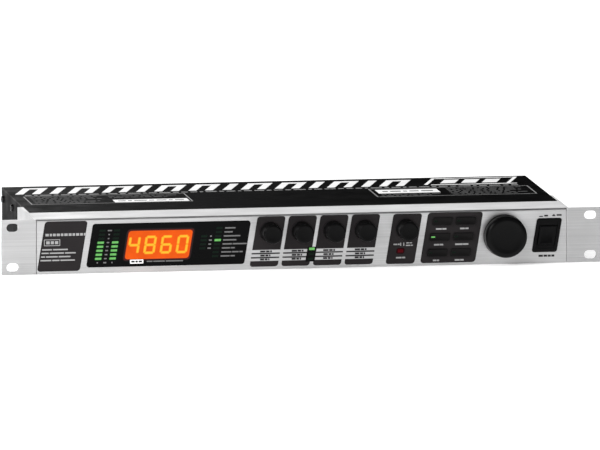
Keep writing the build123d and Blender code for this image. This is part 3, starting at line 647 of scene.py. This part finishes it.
def make_display():
    """The amber display: a painted amber glow round the lit field, the lit field and its digits,
    each digit over a wider stroke of painted glow, one layer over another.
    """
    x, z = -115.3, 0.0
    glow_y, field_y, spill_y, stroke_y = [glass_y - n * LAYER for n in (1, 2, 3, 4)]
    size = (51.4, 22.6)
    # The surround is painted glow: emission on the lens that fades out round the lit field.
    surround = halo("amber_halo", (0.10, 0.003, 0.0015), (x, z), size, 1.8)
    glass_piece(leaning_plate(x, z, 54.8, 25.8, glow_y, glass_y, 3.6), "lcd_halo", surround)
    glass_piece(leaning_plate(x, z, *size, field_y, glass_y, 2.4), "lcd_light", amber_light)
    edges, strokes = [], []
    for digit, dx in zip("4860", (-135.2, -122.3, -109.2, -96.3)):
        edges += digit_strokes(dx, -0.1, digit, 0.9)
        strokes += digit_strokes(dx, -0.1, digit, 0.0)
    # The wider, darker strokes under the digits are painted glow round each stroke.
    glass_piece(bars(edges, spill_y, field_y, LEAN, 0.6), "digit_glow", digit_glow_spill)
    glass_piece(bars(strokes, stroke_y, spill_y, LEAN, 0.6), "digit_strokes", digit_light)


def column(from_lens, z0, rows):
    """A leaning column of lamps behind the window."""
    heights = [z0 + LAMP_PITCH * k for k in range(rows)]
    return [(from_lens - 107.0 + LEAN * (z - 0.4), z) for z in heights]


def make_window_lamps():
    """The two level meters, the effect lamps and the status lamps, lit and dark, with painted green
    glow round each lit lamp.
    """
    meters = [column(dx, LAMP_FOOT_Z, 8) for dx in (-55.25, -43.65)]
    effects = column(38.7, LAMP_FOOT_Z, 8)
    states = column(27.4, -3.85, 4)
    on = [place for col in meters for place in col[:5]] + [effects[4]]
    off = [place for col in meters for place in col[5:]] + effects[:4] + effects[5:] + states
    low_y, high_y = glass_y - LAYER, glass_y - 2 * LAYER
    # Painted glow: a dim green emissive patch round each lit lamp on the lens.
    glow = bars([(x, z, 6.4, 2.8) for x, z in on], low_y, glass_y, LEAN, 0.7)
    glass_piece(glow, "lamp_glow", green_glow_spill)
    lit_bars = bars([(x, z, 5.0, 1.7) for x, z in on], high_y, low_y, LEAN, 0.2)
    glass_piece(lit_bars, "lamps_lit", green_light)
    dark_bars = bars([(x, z, 5.0, 1.8) for x, z in off], low_y, glass_y, LEAN, 0.2)
    glass_piece(dark_bars, "lamps_dark", lamp_off)
    return meters, effects, states


def make_window_marks(meters, effects, states):
    """The window's small print: scales, rows beside the lamps and a line under the display."""
    places = []
    middle = (meters[0][0][0] + meters[1][0][0]) / 2
    for k, width in enumerate((2.2, 2.2, 2.2, 1.9, 1.9, 1.2, 1.2, 3.4)):
        rise = LAMP_PITCH * k
        places.append((middle + LEAN * rise, LAMP_FOOT_Z + rise, width, 0.95))
    for dx, w in ((-6.0, 1.0), (0.0, 2.4), (5.8, 1.0)):
        places.append((middle + dx - 0.5, -13.6, w, 1.1))
    lengths = (11.5, 17.3, 10.4, 19.6, 10.6, 13.3, 6.7, 8.3)
    parts = ((2, 1), (3, 2, 1), (2, 1), (2, 3), (1,), (1,), (1,), (1,))
    for (x, z), total, lots in zip(effects, lengths, parts):
        places += words(x + 4.4, z, total, 1.05, lots, 0.6)
    for (x, z), w in zip(states, (2.6, 2.2, 2.4, 1.4)):
        places.append((x + 5.4, z, w, 1.05))
    places += words(-125.0, -13.35, 29.1, 0.95, (2, 4, 6), 0.7)
    glass_piece(bars(places, glass_y - LAYER, glass_y), "window_print", dim_ink)
    tag = [(-133.1, -13.3, 10.7, 3.2)]
    glass_piece(bars(tag, glass_y - 2 * LAYER, glass_y, 0.0, 0.3), "window_tag", white_ink)
    marks = words(-137.4, -13.3, 8.6, 1.5, (2, 1.4, 2), 0.6)
    glass_piece(bars(marks, glass_y - 3 * LAYER, glass_y - 2 * LAYER), "window_tag_marks", mark_ink)


def make_panel_lamps():
    """Bank lamps and the modifier lamp: small bevelled windows through the front, the modifier lamp
    with a painted red glow round it on the panel.
    """
    front, back = box_of("panel_lamps")[0][1], front_y + 1.0
    bank = [(bank_x(z), z) for z in (-6.3, -10.3, -14.3)]
    for n, (x, z) in enumerate(bank):
        lamp = leaning_plate(x, z, 4.4, 2.0, front, back, 0.3, 0.12, 0.0)
        settle(lamp, f"bank_lamp_{n + 1}", lamp_off if n else green_light, "chassis",
               () if n else ("panel_lamps",), 40)
    # Painted glow: a dim red emissive ring on the panel round the modifier lamp.
    ring = leaning_plate(79.2, -9.6, 6.6, 4.6, ink_y - LAYER, ink_y, 1.6)
    print_piece(ring, "modifier_lamp_ring", red_glow_spill)
    lamp = leaning_plate(79.2, -9.6, 4.4, 2.6, front, back, 0.5, 0.15, 0.0)
    settle(lamp, "modifier_lamp", red_light, "chassis", (), 40)


# ---- knobs, wheel, buttons, power ----

def make_knob(name, body):
    """A turned cap: skirt, shallow waist, tapered side, rounded rim and slightly dished face."""
    low, high = box_of(name)
    x, z = (low[0] + high[0]) / 2, (low[2] + high[2]) / 2
    back, front, r = high[1], low[1], (high[0] - low[0]) / 2
    tip = r - 0.6
    profile = [(back, r - 0.25), (back - 0.3, r), (back - 1.9, r - 0.04), (back - 2.1, r - 0.3),
               (back - 2.3, r - 0.32), (back - 2.5, r - 0.1)]
    profile += [(front + 1.5, tip + 0.05), (front + 0.75, tip - 0.13), (front + 0.3, tip - 0.45),
                (front + 0.06, tip - 0.95), (front, tip - 1.45), (front + 0.03, tip - 1.9),
                (front + 0.22, tip - 3.2), (front + 0.3, tip - 5.5), (front + 0.32, 0.4)]
    settle(turned(x, z, profile, 72), name + "_cap", knob_plastic, body, (name,), 50)


def make_wheel():
    """The jog wheel: a finger-wide rounded rim, a fine ring line and a wide dished face."""
    low, high = box_of("jog_wheel")
    x, z = (low[0] + high[0]) / 2, (low[2] + high[2]) / 2
    back, front, r = high[1], low[1], (high[0] - low[0]) / 2
    profile = [(back, r - 0.9), (back - 0.35, r - 0.35), (back - 1.0, r), (back - 3.0, r - 0.03),
               (back - 3.25, r - 0.3), (back - 3.55, r - 0.3), (back - 3.8, r - 0.08),
               (front + 3.0, r - 0.45), (front + 1.9, r - 0.72), (front + 1.05, r - 1.2),
               (front + 0.45, r - 1.95), (front + 0.1, r - 2.85), (front, r - 3.7),
               (front + 0.05, r - 4.4), (front + 0.32, r - 5.6), (front + 0.55, r - 8.0),
               (front + 0.7, r - 12.0), (front + 0.75, 1.0)]
    settle(turned(x, z, profile, 112), "jog_wheel_cap", wheel_plastic, "jog_wheel_body",
           ("jog_wheel",), 50)


def on_plane(y):
    """A test for what lies on one upright plane."""
    return lambda points: all(abs(p.y - y) < 1e-3 for p in points)


def dish(piece, about, outer, inner, depth):
    """Sink the middle of a front face, between two shares of its width and height."""
    pick(piece, on_plane(about[1]))
    grow()
    swell(about, outer[0], 1, outer[1])
    grow(dy=depth)
    swell(about, inner[0] / outer[0], 1, inner[1] / outer[1])
    face_out()


def cut_away(piece, cutter):
    """Take the cutter's shape out of a piece."""
    bpy.ops.object.select_all(action="DESELECT")
    bpy.context.view_layer.objects.active = piece
    piece.select_set(True)
    tool = piece.modifiers.new("opening", "BOOLEAN")
    tool.operation = "DIFFERENCE"
    tool.solver = "EXACT"
    tool.object = cutter
    bpy.ops.object.modifier_apply(modifier=tool.name)
    bpy.data.objects.remove(cutter)


def make_buttons():
    """Six caps with softened edges, a shallow finger dish and a small lamp at the left."""
    lit_button = 3
    for k in range(1, 7):
        name = f"button_{k}"
        low, high = box_of(name)
        x, z = (low[0] + high[0]) / 2, (low[2] + high[2]) / 2
        front = low[1]
        cap = leaning_plate(x, z, 16.0, 6.2, front, front_y + 2.0, 0.9, 0.4)
        dish(cap, (x, front, z), (0.97, 0.93), (0.93, 0.82), 0.15)
        settle(cap, name + "_cap", button_plastic, name + "_body", (name,), 35)
        lamp = leaning_plate(x - 5.6, z + 0.2, 3.0, 1.1, front - 0.02, front + 0.4, 0.25)
        glow = green_light if k == lit_button else lamp_off
        settle(lamp, name + "_lamp", glow, name + "_body")


def make_power():
    """A leaning bezel with an open well, a shelf above and below, and the cap between them."""
    low, high = box_of("power_switch_frame")
    x, z = (low[0] + high[0]) / 2, (low[2] + high[2]) / 2
    w, h = 20.2, high[2] - low[2]
    front, back = low[1], front_y + 0.6
    bezel = leaning_plate(x, z, w, h, front, back, 2.0, 0.45)
    bpy.ops.object.mode_set(mode="OBJECT")
    well = leaning_plate(x, z, w - 5.4, h - 5.4, front - 1, back + 1, 0.5)
    bpy.ops.object.mode_set(mode="OBJECT")
    cut_away(bezel, well)
    settle(bezel, "power_bezel", power_plastic, "chassis",
           ("power_switch_frame",), 35)
    cap_low, cap_high = box_of("power_button")
    cap_z = (cap_low[2] + cap_high[2]) / 2
    cap_h = cap_high[2] - cap_low[2]
    shelf = (h - 5.5 - cap_h - 0.7) / 2
    rise = cap_h / 2 + 0.35 + shelf / 2
    shelves = [(x + LEAN * s * rise, cap_z + s * rise, w - 5.6, shelf) for s in (-1, 1)]
    settle(bars(shelves, front + 0.7, back, LEAN), "power_shelves", power_plastic, "chassis")
    cap = leaning_plate(x, cap_z, 13.8, cap_h, cap_low[1], front_y + 2.0, 0.8, 0.55)
    dish(cap, (x, cap_low[1], cap_z), (0.86, 0.87), (0.74, 0.76), 0.3)
    settle(cap, "power_cap", power_plastic, "power_button_body",
           ("power_button",), 35)


# ---- the cover's print ----

def flat_words(x0, x1, y, d, lengths, gap):
    """A row of short flat bars that fills a length."""
    return words(x0, y, x1 - x0, d, lengths, gap)


def make_cover_print():
    """Plain shapes for the cover: a band of blocks, a badge, frames and rows of dashes."""
    low, high = top_z, top_z + INK_T

    def lay(places, name, material, slant=0.0, raised=0):
        piece = flat_bars(places, low + raised * LAYER, high + raised * LAYER, slant)
        settle(piece, name, material, "chassis")

    band_y, band_d, stroke = 161, 34, 6.5
    block_gap = 7.7
    far_end = band_d / 2 - stroke / 2
    blocks = []
    x = -203.0
    for width in (20, 7, 20, 20, 7, 20, 20, 7, 20, 20, 7, 20, 7, 20):
        if width == 7:
            blocks.append((x + width / 2, band_y, width, band_d))
        else:
            blocks += [(x + stroke / 2, band_y, stroke, band_d),
                       (x + width - stroke / 2, band_y, stroke, band_d),
                       (x + width / 2 + COVER_LEAN * far_end, band_y + far_end,
                        width - 2 * stroke, stroke)]
        x += width + block_gap
    lay(blocks, "cover_band", white_ink, COVER_LEAN)
    badge = [(164, 146, 70, 3.0), (170, 181.5, 70, 3.0)]
    badge += [(130.5, 163.7, 3.0, 33), (197.5, 163.7, 3.0, 33)]
    badge += [(147, 163.7, 12, 20), (164, 163.7, 12, 20), (181, 163.7, 12, 20)]
    lay(badge, "cover_badge", white_ink, COVER_LEAN)
    dashes = (6, 3, 10, 4, 8, 3, 7, 9, 4, 8, 5, 11, 3, 7, 10, 5, 6)
    lay(flat_words(-202, 198, 136.5, 3.4, dashes * 3, 2.2), "cover_line", grey_ink)
    thin = []
    for x0, x1, y0, y1 in ((-204.0, -74.5, 84.0, 130.0), (75.5, 204.3, 84.0, 130.0)):
        thin += [((x0 + x1) / 2, y0, x1 - x0, 1), ((x0 + x1) / 2, y1, x1 - x0, 1),
                 (x0, (y0 + y1) / 2, 1, y1 - y0), (x1, (y0 + y1) / 2, 1, y1 - y0)]
    lay(thin, "cover_frames", grey_ink)
    small = []
    pitch = 6.6
    left_ends, right_ends = (-146, -150, -144, -158, -147, -152), (198, 192, 196, 186, 199, 190)
    for k, (left_end, right_end) in enumerate(zip(left_ends, right_ends)):
        y = 124.0 - pitch * k
        small += flat_words(-200, left_end, y, 2.2, dashes[k:k + 9], 1.6)
        small += flat_words(137, right_end, y, 2.2, dashes[k + 2:k + 11], 1.6)
    for k, (left_end, right_end) in enumerate(((-82, 128), (-90, 120))):
        small += flat_words(-137, left_end, 122.0 - 7.0 * k, 2.2, dashes[k:k + 8], 1.6)
        small += flat_words(80, right_end, 96.0 - pitch * k, 2.2, dashes[k:k + 8], 1.6)
    lay(small, "cover_rows", dim_ink)
    lay([(-106.5, 94.0, 60.0, 15.0), (104.5, 113.5, 50.0, 21.0)], "cover_strips", white_ink)
    marks = flat_words(-133, -80, 94.0, 3.0, dashes[:7], 2.0)
    marks += flat_words(84, 125, 113.5, 4.0, dashes[3:8], 2.0)
    lay(marks, "cover_strip_marks", mark_ink, raised=1)


# ---- the rear's print ----

def make_rear_print():
    """Two rows of dashes over each jack, MIDI socket and the level switch, and thin rules."""
    back = box_of("rear_panel")[1][1]
    labels = [(x, 10.8, 13.0) for x in (-128, -106, -38, -16, 84)]
    labels += [(108, 13.0, 14.0), (132, 13.0, 14.0), (-72, 9.6, 14.0)]
    places = []
    for x, z, total in labels:
        places += words(x - total / 2, z, total, 1.1, (3, 2), 0.8)
        places += words(x - total / 2 + 1.5, z - 2.0, total - 3.0, 0.7, (2, 3, 1), 0.7)
    switch_x = -72.0
    places += [(switch_x - 4.4, -5.4, 1.6, 0.9), (switch_x + 4.4, -5.4, 2.6, 0.9)]
    settle(bars(places, back, back + INK_T), "rear_print", grey_ink, "chassis")
    rules = [(x, -1.5, 0.5, 24.0) for x in (152.0, 96.0, 62.0, -56.0, -90.0)]
    settle(bars(rules, back, back + INK_T), "rear_rules", dim_ink, "chassis")


# ---- light ----

def soft_panel(name, place, aim, size, power):
    """A soft square light that faces a point."""
    light = bpy.data.lights.new(name, "AREA")
    light.shape = "RECTANGLE"
    light.size, light.size_y = size
    light.energy = power
    holder = bpy.data.objects.new(name, light)
    holder.location = place
    holder.rotation_euler = (Vector(aim) - Vector(place)).to_track_quat("-Z", "Y").to_euler()
    holder.visible_camera = False
    bpy.context.scene.collection.objects.link(holder)
    return holder


def make_studio():
    """A pale floor, an even white world and soft lights, one of them for the bare metal only."""
    bpy.ops.object.select_all(action="DESELECT")
    bpy.ops.mesh.primitive_plane_add(size=8, location=(0, 0, bottom_z * M))
    floor = bpy.context.object
    floor.name = "floor"
    bpy.ops.object.transform_apply(location=True, rotation=True, scale=True)
    pale, shader = finish("pale_floor", (0.9, 0.9, 0.9), 0.9, specular=0.1)
    shader.inputs["Emission Color"].default_value = (1, 1, 1, 1)
    shader.inputs["Emission Strength"].default_value = 0.3
    floor.data.materials.append(pale)
    world = bpy.data.worlds.new("white_studio")
    world.use_nodes = True
    world.node_tree.nodes["Background"].inputs["Color"].default_value = (1, 1, 1, 1)
    world.node_tree.nodes["Background"].inputs["Strength"].default_value = 0.9
    bpy.context.scene.world = world
    world.cycles_visibility.glossy = False
    soft_panel("key_left", (-1.3, -0.75, 1.0), (-0.05, 0, 0), (0.5, 0.5), 20)
    soft_panel("front_left", (-0.42, -0.7, 0.16), (-0.2, 0, 0), (0.5, 0.25), 0.8)
    strip = soft_panel("strip_light", (0.2, 1.6, 0.95), (0, 0, 0), (4.0, 1.8), 28)
    metal = bpy.data.collections.new("bare_metal")
    for node in ("front_panel", "rack_ear_left", "rack_ear_right"):
        metal.objects.link(bpy.data.objects[node])
    strip.light_linking.receiver_collection = metal
    soft_panel("cover_sheen", (-0.12, 3.0, 0.42), (-0.2, 0.1, 0.02), (0.7, 0.5), 3.4)
    bpy.context.scene.view_settings.view_transform = "Standard"


make_camera()
finish_nodes()
make_label_field()
make_knob_plates()
make_bank_field()
make_modifier_plate()
make_button_plate()
make_power_marks()
make_display()
make_window_marks(*make_window_lamps())
make_panel_lamps()
for number in range(1, 5):
    make_knob(f"edit_knob_{number}", f"edit_knob_{number}_body")
make_knob("modifier_knob", "modifier_knob_body")
make_wheel()
make_buttons()
make_power()
make_cover_print()
make_rear_print()
make_studio()
